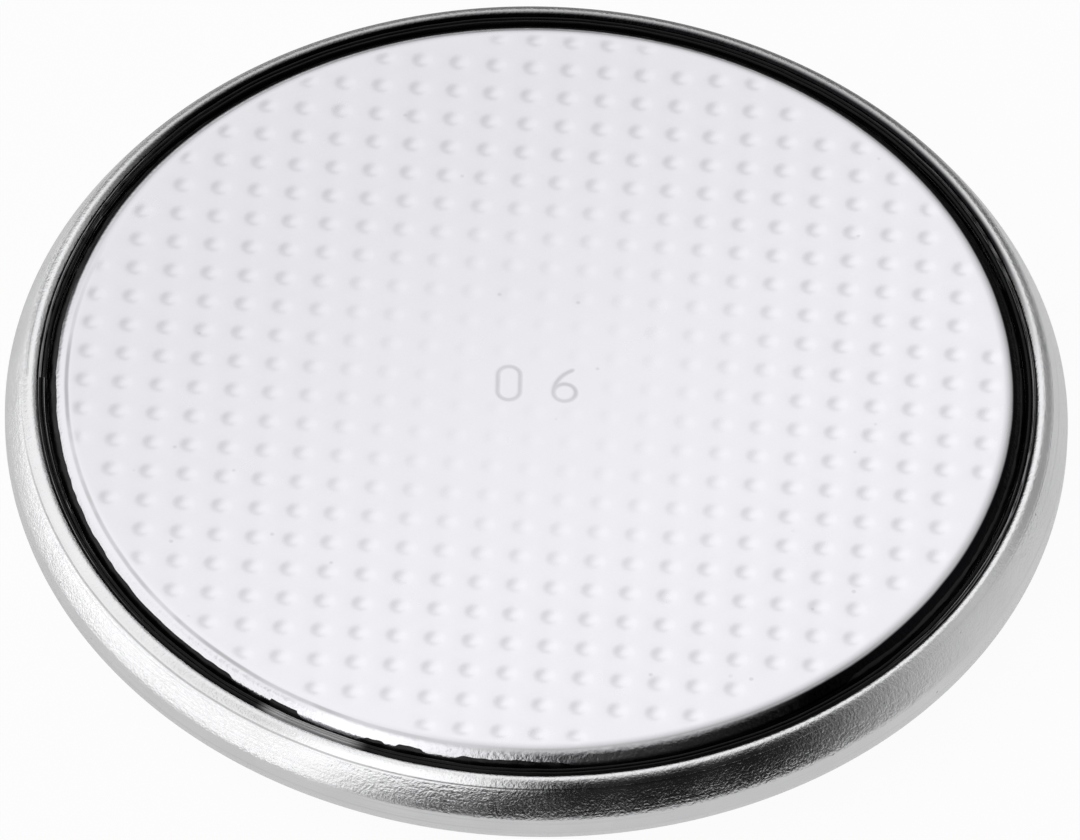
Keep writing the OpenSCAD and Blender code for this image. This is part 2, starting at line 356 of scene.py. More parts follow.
def digit_distance(x, y):
    """Distance from the centre line of the nearest digit: a 0 on the left and a 6 on the right."""
    r = (DIGIT_W - STROKE_W) / 2
    side = (DIGIT_H - DIGIT_W) / 2
    zero = abs(np.hypot(x + DIGIT_PITCH / 2, np.maximum(abs(y) - side, 0)) - r)
    u, v = x - DIGIT_PITCH / 2, y + side
    bowl = abs(np.hypot(u, v) - r)
    stem_r = DIGIT_H - DIGIT_W / 2 - STROKE_W / 2
    stem = abs(np.hypot(u - (stem_r - r), v) - stem_r)
    beyond = np.maximum(np.maximum(-v, u - (DIGIT_W - STROKE_W) / 2 + STROKE_W), 0)
    return np.minimum(zero, np.minimum(bowl, np.hypot(stem, beyond)))


def flat_points(centres):
    """Points over the flat: rings about each dimple, a fine grid over the digits, a loose grid with
    every other row half a step on between them, and the circles of the border, the last of them
    shared with the rim."""
    rings = np.vstack([[[0, 0]], circles(DIMPLE_RINGS, RING_POINTS)])
    half = DIGITS_HALF + STROKE_W
    digits = np.meshgrid(*(np.arange(-h, h, DIGIT_STEP) for h in half))
    count = int(FLAT_R / FIELD_STEP)
    i, j = np.mgrid[-count:count + 1, -count:count + 1]
    field = FIELD_STEP * np.stack([i + 0.5 * (j % 2), j], -1).reshape(-1, 2)
    far = (abs(field) > half + 0.03).any(1)
    for centre in centres:
        far &= np.hypot(*(field - centre).T) > 1.35 * DIMPLE_R
    inner = np.vstack([(centres[:, None] + rings).reshape(-1, 2),
                       np.stack(digits, -1).reshape(-1, 2), field[far]])
    inner = inner[np.hypot(*inner.T) < FLAT_R - 0.02]
    return np.vstack([inner, circles(np.linspace(SAG_R, FLAT_R, 5), ROUND)])


def flat_height(at, centres):
    """Height of the cap's flat: the top less each dimple's soft bowl, (1 - s^2)^2 at share s of its
    radius and fading at the flat's border, less the soft stamped stroke, and less the even sag at
    the border, (r - SAG_R)^2 scaled to the border's slope."""
    down = np.zeros(len(at))
    for centre, depth in zip(centres, dimple_depth(centres)):
        near = np.flatnonzero((abs(at - centre) < DIMPLE_R).all(1))
        s = np.hypot(*(at[near] - centre).T) / DIMPLE_R
        down[near] = np.maximum(down[near], depth * np.clip(1 - s * s, 0, 1) ** 2)
    r = np.hypot(*at.T)
    down *= 1 - smooth_step(*DIMPLES_FADE, r)
    away = digit_distance(at[:, 0], at[:, 1])
    down += STROKE_DEPTH * (1 - smooth_step(0, 0.85 * STROKE_W, away))
    past = np.clip((r - SAG_R) / (FLAT_R - SAG_R), 0, None)
    return CELL_H - down - SAG * past ** 2


def cap_mesh():
    """The cap's flat, triangulated over its points, joined at its border to the carried rim."""
    centres = dimple_centres()
    flat = delaunay_2d_cdt([Vector(p) for p in flat_points(centres)], [], [], 0, 1e-7)
    at = np.array([tuple(v) for v in flat[0]])
    top = np.column_stack([at, flat_height(at, centres)])
    faces = np.array([list(f) + [-1] for f in flat[2]])
    rim, quads = carried(cap_rim(), closed=False)
    return np.vstack([top, rim]), np.vstack([faces, quads + len(top)])


# ---------------------------------------------------------------- the gasket and the sealant


def gasket_section():
    """Closed section of the gasket: foot, the can's inside, two fine ridges and the slope down to
    the cap's side, then the cap's skirt back to the foot."""
    outer = arc([crevice[0] - RIDGE_R, RIDGE_Z], RIDGE_R, 0, 180, 12)
    inner = arc([crevice[0] - 3 * RIDGE_R, RIDGE_Z], RIDGE_R, 0, 180, 12)
    face = np.vstack([[crevice], outer, inner[1:]])
    slope = np.linspace(face[-1], [CAP_R, GASKET_Z], 14)[1:-1]
    return np.vstack([[[GASKET_FOOT_R, CAN_T]], can_inner[1:], face, slope, cap_skirt_path(8),
                      [[GASKET_FOOT_R, SKIRT_END_Z]]])


def gasket_unevenness(t, r, z):
    """Shift of the gasket's visible face: its ridges sink and sway a little round the cell."""
    low = ring_wave(t, 60, 0.006)
    sway = ring_wave(t, 40, 0.004)
    face = smooth_step(CAP_R + 0.02, CAP_R + 0.08, r)
    face *= smooth_step(GASKET_Z + 0.03, GASKET_Z + 0.12, z)
    face *= smooth_step(0, 0.03, LIP[0] - 0.02 - r)
    return sway * face, -abs(low) * face


def sealant_top(t):
    """Height of the sealant's ragged upper edge at angle t: a quick random line round the cap's
    edge, a little higher at the left, with the lumps and the sunk stretches of its front."""
    ragged = ring_wave(t, 220, 0.005) + ring_wave(t, 60, 0.005)
    degrees = np.degrees(t) % 360

    def patch(low, high, edge):
        return smooth_step(low - edge, low, degrees) * (1 - smooth_step(high, high + edge, degrees))
    top = CELL_H - SEALANT_DROP + 0.05 * (1 - smooth_step(0, 40, abs(degrees - 180)))
    for low, high, edge, lift in SEALANT_LUMPS:
        top += lift * patch(low, high, edge)
    for low, high, edge, drop in SEALANT_SUNK:
        top += (CELL_H - drop - top) * patch(low, high, edge)
    return top + ragged


def sealant_mesh():
    """The sealant: a thin skin up the cap's side from the gasket to its ragged upper edge. At share
    u of its height it stands out by its thickness times sin(pi (0.08 + 0.92 u)) to the power 0.6,
    and by its foot times (1 - u)^3."""
    count, rows = 2 * ROUND, 12
    t = (np.arange(count) * TURN / count)[:, None]
    top = sealant_top(t)
    u = np.linspace(0, 1, rows + 1)[None]
    z = GASKET_Z + (top - GASKET_Z) * u
    swell = np.sin(math.pi * (0.08 + 0.92 * u)).clip(0) ** 0.6
    thick = np.maximum(SEALANT_T + ring_wave(t, 150, 0.006), SEALANT_MIN_T)
    angle = np.arcsin(np.clip((z - EDGE_C[1]) / CAP_EDGE_R, 0, HALF))
    beyond = np.maximum(z - EDGE_C[1] - CAP_EDGE_R * HALF, 0)
    side = CAP_R - CAP_EDGE_R * (1 - np.cos(angle)) - beyond
    r = np.hstack([side + thick * swell + SEALANT_FOOT * (1 - u) ** 3, side[:, ::-1][:, 1:-1]])
    z = np.hstack([z, z[:, ::-1][:, 1:-1]])
    grid = np.stack([r * np.cos(t), r * np.sin(t), z], -1)
    a = np.arange(grid.size // 3).reshape(count, -1)
    b = np.roll(a, -1, 0)
    quads = np.stack([a, np.roll(a, -1, 1), np.roll(b, -1, 1), b], -1)
    return grid.reshape(-1, 3), quads.reshape(-1, 4)


# ---------------------------------------------------------------- shader helpers


def add(tree, kind, settings=None, inputs=None):
    """A node of that kind with its settings; each input is a value or another node's output."""
    made = tree.nodes.new(kind)
    for name, value in (settings or {}).items():
        setattr(made, name, value)
    for key, value in (inputs or {}).items():
        if isinstance(value, bpy.types.NodeSocket):
            tree.links.new(value, made.inputs[key])
        else:
            made.inputs[key].default_value = value
    return made


def sums(tree, operation, a, b=0.0, c=0.0, clamp=False):
    """One step of arithmetic."""
    settings = {"operation": operation, "use_clamp": clamp}
    return add(tree, "ShaderNodeMath", settings, {0: a, 1: b, 2: c}).outputs[0]


def spread(tree, value, low, high, to_low=0.0, to_high=1.0):
    """The value eased from one range to another, held at both ends."""
    return add(tree, "ShaderNodeMapRange", {"interpolation_type": "SMOOTHSTEP"}, {
        "Value": value, "From Min": low, "From Max": high,
        "To Min": to_low, "To Max": to_high}).outputs["Result"]


def noise(tree, vector, scale, detail=2.0, roughness=0.5):
    """A cloud noise from 0 to 1 over the vector."""
    return add(tree, "ShaderNodeTexNoise", {}, {
        "Vector": vector, "Scale": scale, "Detail": detail, "Roughness": roughness}).outputs["Fac"]


def blend(tree, share, a, b):
    """Colour a where the share is 0 and b where it is 1."""
    return add(tree, "ShaderNodeMix", {"data_type": "RGBA"}, {0: share, 6: a, 7: b}).outputs[2]


def band(tree, value, low, high, edge):
    """1 between low and high, easing to 0 over edge outside them."""
    return sums(tree, "MULTIPLY", spread(tree, value, low - edge, low),
                spread(tree, value, high, high + edge, 1.0, 0.0))


def length(tree, vector):
    """Length of a vector."""
    return add(tree, "ShaderNodeVectorMath", {"operation": "LENGTH"}, {0: vector}).outputs["Value"]


def dot(tree, a, b):
    """Dot product of two vectors."""
    made = add(tree, "ShaderNodeVectorMath", {"operation": "DOT_PRODUCT"}, {0: a, 1: b})
    return made.outputs["Value"]


def parts(tree, vector):
    """X, Y and Z of a vector."""
    return add(tree, "ShaderNodeSeparateXYZ", {}, {0: vector}).outputs


def own_place(tree):
    """The point in the piece's own coordinates."""
    return add(tree, "ShaderNodeTexCoord").outputs["Object"]


def round_axis(tree):
    """Distance from the cell's axis, angle round it in radians and height."""
    part = parts(tree, own_place(tree))
    squares = [sums(tree, "MULTIPLY", part[axis], part[axis]) for axis in "XY"]
    r = sums(tree, "SQRT", sums(tree, "ADD", *squares))
    return r, sums(tree, "ARCTAN2", part["Y"], part["X"]), part["Z"]


def shared_effect(name, inputs, outputs):
    """An empty shader node group with named float inputs and named outputs (float or vector)."""
    tree = bpy.data.node_groups.new(name, "ShaderNodeTree")
    for key, value in inputs.items():
        socket = tree.interface.new_socket(key, in_out="INPUT", socket_type="NodeSocketFloat")
        socket.default_value = value
    for key, kind in outputs.items():
        tree.interface.new_socket(key, in_out="OUTPUT", socket_type=kind)
    return tree, tree.nodes.new("NodeGroupInput"), tree.nodes.new("NodeGroupOutput")


def use(tree, effect, **inputs):
    """A copy of a shared effect in a material, with underscores in the input names read as
    spaces."""
    made = add(tree, "ShaderNodeGroup", {"node_tree": effect})
    for key, value in inputs.items():
        made.inputs[key.replace("_", " ")].default_value = value
    return made.outputs


def grain_effect():
    """Grain of pressed sheet: pits of two sizes, in millimetres, as one height from 0 to 1, a slow
    mottle and a sparse mask of tiny nicks."""
    tree, given, out = shared_effect(
        "Sheet grain", {"Size": 0.05, "Slow Size": 1.5, "Nicks": 0.5},
        {"Height": "NodeSocketFloat", "Mottle": "NodeSocketFloat", "Nicks": "NodeSocketFloat"})
    at = own_place(tree)
    size = given.outputs["Size"]
    fine = noise(tree, at, sums(tree, "DIVIDE", 0.5 / MM, size), 2.0, 0.6)
    wide = noise(tree, at, sums(tree, "DIVIDE", 0.16 / MM, size), 1.0, 0.5)
    height = sums(tree, "ADD", sums(tree, "MULTIPLY", fine, 0.6), sums(tree, "MULTIPLY", wide, 0.4))
    tree.links.new(height, out.inputs["Height"])
    slow = noise(tree, at, sums(tree, "DIVIDE", 1 / MM, given.outputs["Slow Size"]), 3.0, 0.5)
    tree.links.new(slow, out.inputs["Mottle"])
    spots = add(tree, "ShaderNodeTexVoronoi", {}, {
        "Vector": at, "Scale": sums(tree, "DIVIDE", 0.12 / MM, size)}).outputs
    near = spread(tree, spots["Distance"], 0.16, 0.06)
    pick = add(tree, "ShaderNodeSeparateColor", {}, {"Color": spots["Color"]}).outputs["Red"]
    nicks = sums(tree, "MULTIPLY", near, spread(tree, pick, 0.93, 0.95))
    tree.links.new(sums(tree, "MULTIPLY", nicks, given.outputs["Nicks"]), out.inputs["Nicks"])
    return tree


def spun_effect():
    """Fine lines round the axis: noise over the radius and the height only, broken up slowly by
    angle."""
    tree, given, out = shared_effect(
        "Spun lines", {"Line Width": 0.03, "Breaks": 3.0}, {"Lines": "NodeSocketFloat"})
    r, angle, z = round_axis(tree)
    per_line = sums(tree, "DIVIDE", 1 / MM, given.outputs["Line Width"])
    around = add(tree, "ShaderNodeCombineXYZ", {}, {
        "X": sums(tree, "MULTIPLY", r, per_line), "Y": sums(tree, "MULTIPLY", z, per_line),
        "Z": sums(tree, "MULTIPLY", angle, given.outputs["Breaks"])}).outputs[0]
    tree.links.new(noise(tree, around, 0.5, 2.0, 0.6), out.inputs["Lines"])
    return tree


def place_effect():
    """Where a point lies on the cell: its radius and height in millimetres, with a slow random
    drift that keeps lines from being perfect circles, and its angle in degrees, from -180 to
    180."""
    tree, given, out = shared_effect(
        "Place round the cell", {"Drift": 0.01},
        {"Radius": "NodeSocketFloat", "Height": "NodeSocketFloat", "Angle": "NodeSocketFloat"})
    r, angle, z = round_axis(tree)
    off = sums(tree, "SUBTRACT", noise(tree, own_place(tree), 0.6 / MM, 2.0, 0.6), 0.5)
    drift = sums(tree, "MULTIPLY", off, given.outputs["Drift"])
    tree.links.new(sums(tree, "MULTIPLY_ADD", r, 1 / MM, drift), out.inputs["Radius"])
    tree.links.new(sums(tree, "MULTIPLY_ADD", z, 1 / MM, drift), out.inputs["Height"])
    tree.links.new(sums(tree, "MULTIPLY", angle, 360 / TURN), out.inputs["Angle"])
    return tree


SHEET_GRAIN = grain_effect()
SPUN_LINES = spun_effect()
PLACE = place_effect()


def toward(tree, place, degrees):
    """Cosine of the angle round the axis between the point and a direction: 0 right, 90 back."""
    return sums(tree, "COSINE", sums(tree, "MULTIPLY_ADD", place["Angle"], TURN / 360,
                                     -math.radians(degrees)))


def empty_material(name):
    """A material with an empty node tree."""
    made = bpy.data.materials.new(name)
    made.use_nodes = True
    made.node_tree.nodes.clear()
    return made, made.node_tree


def new_material(name, **constants):
    """A material with one Principled shader, its constants set on the shader's own sockets."""
    made, tree = empty_material(name)
    shader = add(tree, "ShaderNodeBsdfPrincipled")
    for key, value in constants.items():
        shader.inputs[key.replace("_", " ")].default_value = value
    add(tree, "ShaderNodeOutputMaterial", {}, {"Surface": shader.outputs[0]})
    return made, tree, shader


def set_surface(tree, shader, tone, roughness, height, distance, strength):
    """Gives the shader its colour, its roughness and a bump by a height from 0 to 1 over a distance
    in millimetres."""
    tree.links.new(tone, shader.inputs["Base Color"])
    tree.links.new(roughness, shader.inputs["Roughness"])
    bump = add(tree, "ShaderNodeBump", {}, {
        "Height": height, "Distance": distance * MM, "Strength": strength})
    tree.links.new(bump.outputs["Normal"], shader.inputs["Normal"])


# ---------------------------------------------------------------- materials

ROLLOFF_LEFT = -148                 # the direction where the roll-off shows as a bright strip
PAINTED_DARK_BEVEL = (-54.0, 160.0, 26.0) # angles where the bevel is painted black as a dark reflection, and where it runs out
PAINTED_DARK_LIP = (25.0, 135.0, 25.0)    # the same painted dark reflection, for the lip's edge
# angles where the crease is painted with shade
SHADED_CREASE = (-160.0, -75.0, 20.0)
LIP_SCRATCH = (169.0, 179.0, 2.0)
SCRATCH_R = (9.575, 9.6, 0.012)     # radii between which the scratch lies, and its soft edge
# angles of a painted highlight on the gasket
GASKET_HIGHLIGHT = (-120.0, -111.5, 3.0)


def cap_steel():
    """Satin nickel-plated steel of the cap, a little violet, with a fine even grain that is coarser
    on its bevel, painted shade darkening it slowly towards its back left, painted shade greying its
    stamped strokes, a painted shade line along its roll-off at the left, painted shade greying the
    roll-off elsewhere, and a painted dark reflection up its bevel from the right round to the back."""
    made, tree, shader = new_material("Cap steel", Metallic=1.0, Roughness=0.34)
    grain = use(tree, SHEET_GRAIN, Size=0.045, Slow_Size=1.6, Nicks=0.6)
    place = use(tree, PLACE, Drift=0.03)
    part = parts(tree, own_place(tree))
    tone = blend(tree, spread(tree, grain["Mottle"], 0.3, 0.7),
                 (0.855, 0.848, 0.885, 1), (0.88, 0.873, 0.91, 1))
    # painted shade: the cap darkens slowly towards its back left
    slant = sums(tree, "MULTIPLY_ADD", part["Y"], -0.8, sums(tree, "MULTIPLY", part["X"], 0.6))
    shade = blend(tree, spread(tree, slant, -9 * MM, 6 * MM),
                  (0.87, 0.87, 0.877, 1), (0.985, 0.985, 0.985, 1))
    tone = add(tree, "ShaderNodeMix", {"data_type": "RGBA", "blend_type": "MULTIPLY"},
               {0: 1.0, 6: tone, 7: shade}).outputs[2]
    tone = blend(tree, grain["Nicks"], tone, (0.62, 0.61, 0.64, 1))
    # painted shade: the stamped strokes are greyed, in patches
    stroke = add(tree, "ShaderNodeAttribute", {"attribute_name": "Stroke"}).outputs["Fac"]
    patchy_stroke_shade = spread(tree, grain["Mottle"], 0.3, 0.7, 0.35, 0.75)
    tone = blend(tree, sums(tree, "MULTIPLY", stroke, patchy_stroke_shade), tone, (0.5, 0.49, 0.51, 1))
    # painted shade: a grey line along the roll-off at the left
    to_left = spread(tree, toward(tree, place, ROLLOFF_LEFT), 0.55, 0.85)
    line = sums(tree, "MULTIPLY_ADD", toward(tree, place, 90), 0.075, place["Radius"])
    line = sums(tree, "MULTIPLY", band(tree, line, FLAT_R - 0.035, FLAT_R - 0.01, 0.045), to_left)
    line = sums(tree, "MULTIPLY", line, spread(tree, grain["Mottle"], 0.35, 0.65, 0.35, 0.75))
    tone = blend(tree, line, tone, (0.36, 0.355, 0.37, 1))
    # painted shade: the roll-off greys outwards everywhere except at the left
    rolloff_shade = sums(tree, "MULTIPLY", spread(tree, place["Radius"], SAG_R, FLAT_R + 0.12, 0.0, 0.55),
                sums(tree, "SUBTRACT", 1.0, to_left))
    tone = blend(tree, rolloff_shade, tone, (0.5, 0.495, 0.51, 1))
    # painted dark reflection: the bevel turns black from the right round to the back
    down_bevel = sums(tree, "MULTIPLY_ADD", toward(tree, place, 0), 0.03, place["Radius"])
    film = sums(tree, "MULTIPLY", band(tree, place["Angle"], *PAINTED_DARK_BEVEL),
                spread(tree, down_bevel, FLAT_R + 0.065, FLAT_R + 0.115))
    tone = blend(tree, film, tone, (0.006, 0.006, 0.007, 1))
    coarse = spread(tree, place["Radius"], FLAT_R + 0.04, FLAT_R + 0.16, 1.0, 24.0)
    set_surface(tree, shader, tone, spread(tree, grain["Mottle"], 0.25, 0.75, 0.27, 0.33),
                sums(tree, "MULTIPLY", grain["Height"], coarse), 0.004, 0.35)
    return made


def can_steel():
    """Stainless steel of the can, with a coarse satin grain where it was drawn and spun, faint
    lines round it, painted shade along the crease of the crimp at the front left, a scratch beside
    the lip, painted shade darkening its back and a painted dark reflection on the lip's edge there."""
    made, tree, shader = new_material("Can steel", Metallic=1.0, Roughness=0.3)
    grain = use(tree, SHEET_GRAIN, Size=0.024, Slow_Size=0.9, Nicks=0.8)
    spun = use(tree, SPUN_LINES, Line_Width=0.03, Breaks=2.5)
    place = use(tree, PLACE, Drift=0.02)
    upper = spread(tree, place["Height"], 0.5 * CELL_H, 0.7 * CELL_H)
    tone = blend(tree, spread(tree, grain["Mottle"], 0.3, 0.7),
                 (0.75, 0.75, 0.76, 1), (0.79, 0.79, 0.8, 1))
    tone = blend(tree, spread(tree, spun["Lines"], 0.52, 0.75, 0.0, 0.2), tone,
                 (0.45, 0.45, 0.46, 1))
    # painted shade: a dark line along the crease at the front left
    crease_shade_and_scratch = band(tree, place["Height"], CREASE[1] - 0.005, CREASE[1] + 0.008, 0.018)
    crease_shade_and_scratch = sums(tree, "MULTIPLY", crease_shade_and_scratch, band(tree, place["Angle"], *SHADED_CREASE))
    crease_shade_and_scratch = sums(tree, "MULTIPLY", crease_shade_and_scratch,
                spread(tree, place["Radius"], CREASE[0] - 0.06, CREASE[0] - 0.03))
    scratch = sums(tree, "MULTIPLY", band(tree, place["Radius"], *SCRATCH_R),
                   band(tree, place["Angle"], *LIP_SCRATCH))
    scratch = sums(tree, "MULTIPLY", scratch, spread(tree, spun["Lines"], 0.3, 0.55))
    # the crease's painted shade and the real scratch darken the tone together
    crease_shade_and_scratch = sums(tree, "MAXIMUM", crease_shade_and_scratch, sums(tree, "MULTIPLY", scratch, upper))
    tone = blend(tree, sums(tree, "MULTIPLY", crease_shade_and_scratch, 0.5), tone, (0.13, 0.13, 0.135, 1))
    # painted shade: the upper part of the can darkens towards the back
    back = spread(tree, toward(tree, place, 90), 0.35, 0.85, 0.0, 0.5)
    tone = blend(tree, sums(tree, "MULTIPLY", back, upper), tone, (0.2, 0.2, 0.205, 1))
    # painted dark reflection: the lip's edge at the back turns black
    edge = LIP[0] + LIP_EDGE_R
    film = sums(tree, "MULTIPLY", band(tree, place["Angle"], *PAINTED_DARK_LIP),
                spread(tree, place["Radius"], edge - 0.12, edge - 0.02, 1.0, 0.0))
    tone = blend(tree, sums(tree, "MULTIPLY", film, upper), tone, (0.01, 0.01, 0.012, 1))
    tone = blend(tree, grain["Nicks"], tone, (0.35, 0.35, 0.36, 1))
    rough = sums(tree, "MULTIPLY_ADD", spun["Lines"], 0.3,
                 sums(tree, "MULTIPLY", grain["Mottle"], 0.7))
    height = sums(tree, "MULTIPLY_ADD", spun["Lines"], 0.2, grain["Height"])
    set_surface(tree, shader, tone, spread(tree, rough, 0.3, 0.7, 0.18, 0.27), height, 0.017, 1.0)
    return made


def gasket_plastic():
    """Black polypropylene, smooth, with painted glints as fine grey lines round its sides and a
    painted highlight patch at the front left where the sealant is missing."""
    made, tree, shader = new_material("Gasket plastic", Roughness=0.3)
    shader.inputs["Specular IOR Level"].default_value = 0.13
    grain = use(tree, SHEET_GRAIN, Size=0.04, Slow_Size=0.7, Nicks=0.5)
    spun = use(tree, SPUN_LINES, Line_Width=0.011, Breaks=1.6)
    place = use(tree, PLACE, Drift=0.02)
    # painted glints: fine grey lines on the ridges at the left and right sides
    side = sums(tree, "ABSOLUTE", toward(tree, place, 0))
    painted_glints = sums(tree, "MULTIPLY", spread(tree, spun["Lines"], 0.56, 0.66, 0.0, 0.8),
                 spread(tree, side, 0.62, 0.95, 0.08, 1.0))
    tone = blend(tree, painted_glints, (0.003, 0.003, 0.0035, 1), (0.4, 0.4, 0.41, 1))
    # painted highlight: a bright patch at the front left where the sealant is missing
    painted_highlight = sums(tree, "MULTIPLY", band(tree, place["Angle"], *GASKET_HIGHLIGHT),
                  spread(tree, place["Radius"], CAP_R + 0.02, CAP_R + 0.06, 0.0, 0.9))
    painted_highlight = sums(tree, "MULTIPLY", painted_highlight, spread(tree, spun["Lines"], 0.3, 0.6, 0.35, 1.0))
    tone = blend(tree, painted_highlight, tone, (0.7, 0.7, 0.71, 1))
    set_surface(tree, shader, tone, spread(tree, grain["Height"], 0.3, 0.7, 0.22, 0.42),
                sums(tree, "ADD", grain["Height"], spun["Lines"]), 0.006, 0.5)
    return made


def sealant_film():
    """Black asphalt sealant, dried glossy and lumpy, with a little dust caught in it."""
    made, tree, shader = new_material("Sealant film", Roughness=0.35)
    shader.inputs["Specular IOR Level"].default_value = 0.3
    grain = use(tree, SHEET_GRAIN, Size=0.07, Slow_Size=0.4, Nicks=1.0)
    tone = blend(tree, spread(tree, grain["Mottle"], 0.5, 0.75),
                 (0.003, 0.003, 0.0035, 1), (0.009, 0.009, 0.01, 1))
    tone = blend(tree, grain["Nicks"], tone, (0.25, 0.25, 0.26, 1))
    set_surface(tree, shader, tone, spread(tree, grain["Mottle"], 0.3, 0.7, 0.25, 0.5),
                grain["Height"], 0.02, 0.8)
    return made


def gauze_steel():
    """Dull steel gauze, darkened where it meets the cathode."""
    made, tree, shader = new_material("Gauze steel", Metallic=1.0, Roughness=0.45)
    grain = use(tree, SHEET_GRAIN, Size=0.08, Slow_Size=2.0, Nicks=0.5)
    tone = blend(tree, spread(tree, grain["Mottle"], 0.35, 0.7),
                 (0.5, 0.5, 0.51, 1), (0.32, 0.31, 0.3, 1))
    set_surface(tree, shader, tone, spread(tree, grain["Height"], 0.3, 0.7, 0.38, 0.55),
                grain["Height"], 0.01, 0.5)
    return made


def pellet_black():
    """Pressed manganese dioxide: matt black powder with a coarse grain and grey flecks of
    graphite."""
    made, tree, shader = new_material("Cathode pellet", Roughness=0.85)
    grain = use(tree, SHEET_GRAIN, Size=0.14, Slow_Size=1.2, Nicks=1.0)
    tone = blend(tree, spread(tree, grain["Mottle"], 0.3, 0.7),
                 (0.012, 0.012, 0.012, 1), (0.03, 0.029, 0.028, 1))
    tone = blend(tree, grain["Nicks"], tone, (0.12, 0.12, 0.12, 1))
    set_surface(tree, shader, tone, spread(tree, grain["Height"], 0.3, 0.7, 0.7, 0.95),
                grain["Height"], 0.03, 0.8)
    return made


def separator_felt():
    """White polypropylene felt, with short fibres lying in all directions."""
    made, tree, shader = new_material("Separator felt", Roughness=0.9)
    shader.inputs["Sheen Weight"].default_value = 0.2
    fibres = use(tree, SHEET_GRAIN, Size=0.1, Slow_Size=0.5, Nicks=0.3)
    tone = blend(tree, spread(tree, fibres["Height"], 0.35, 0.65),
                 (0.72, 0.72, 0.7, 1), (0.9, 0.9, 0.88, 1))
    set_surface(tree, shader, tone, spread(tree, fibres["Mottle"], 0.3, 0.7, 0.8, 0.95),
                fibres["Height"], 0.03, 0.7)
    return made


def lithium_metal():
    """Rolled lithium, soft and silvery, dulled to grey in clouds."""
    made, tree, shader = new_material("Lithium metal", Metallic=1.0, Roughness=0.4)
    grain = use(tree, SHEET_GRAIN, Size=0.12, Slow_Size=2.5, Nicks=0.6)
    tone = blend(tree, spread(tree, grain["Mottle"], 0.35, 0.7),
                 (0.72, 0.73, 0.76, 1), (0.42, 0.42, 0.45, 1))
    set_surface(tree, shader, tone, spread(tree, grain["Mottle"], 0.3, 0.7, 0.32, 0.6),
                grain["Height"], 0.02, 0.5)
    return made


steel_of_cap, steel_of_can = cap_steel(), can_steel()
black_plastic, black_film = gasket_plastic(), sealant_film()

piece("spun_can", *carried(can_section()), steel_of_can, "positive_can", "can_steel", 35)
mark_strokes(piece("dimpled_cap", *cap_mesh(), steel_of_cap, "negative_cap", "cap_steel", 50))
piece("gasket_ring", *carried(gasket_section(), gasket_unevenness), black_plastic,
      "gasket", "gasket_plastic", 50)
piece("sealant_skin", *sealant_mesh(), black_film, "sealant", "sealant_film", 60)

for node, slot_name, made in (("cathode_gauze", "gauze_steel", gauze_steel()),
                              ("cathode_pellet", "pellet_black", pellet_black()),
                              ("separator", "separator_felt", separator_felt()),
                              ("lithium_anode", "lithium_metal", lithium_metal())):
    carried_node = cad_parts[node]
    carried_node.data.materials.clear()
    carried_node.data.materials.append(made)

# ---------------------------------------------------------------- camera

ELEVATION = math.radians(49.45)
ROLL = math.radians(-1.462)
DISTANCE = 421.4                    # from the middle of the cap's top, in millimetres
RIGHT_OFFSET, DOWN_OFFSET = -0.0515, -0.680     # of that middle from the line of sight
LENS = 747.7

camera_data = bpy.data.cameras.new("Camera")
camera_data.sensor_width = 36
camera_data.lens = LENS
camera_data.clip_start, camera_data.clip_end = 0.01, 10
camera = bpy.data.objects.new("Camera", camera_data)
bpy.context.scene.collection.objects.link(camera)
bpy.context.scene.camera = camera

forward = Vector((0, math.cos(ELEVATION), -math.sin(ELEVATION)))
level, fall = Vector((1, 0, 0)), Vector((0, -math.sin(ELEVATION), -math.cos(ELEVATION)))
across = math.cos(ROLL) * level + math.sin(ROLL) * fall
down = math.cos(ROLL) * fall - math.sin(ROLL) * level
place = -(RIGHT_OFFSET * across + DOWN_OFFSET * down + DISTANCE * forward) + Vector((0, 0, CELL_H))
turn = Matrix((across, -down, -forward)).transposed().to_4x4()
camera.matrix_world = Matrix.Translation(place * MM) @ turn

# ---------------------------------------------------------------- floor, flag and surrounding light


def stage_mesh(name, points, faces, material):
    """A staging object from points in millimetres."""
    mesh = bpy.data.meshes.new(name)
    mesh.from_pydata((np.asarray(points) * MM).tolist(), [], faces)
    mesh.materials.append(material)
    made = bpy.data.objects.new(name, mesh)
    bpy.context.scene.collection.objects.link(made)
    return made


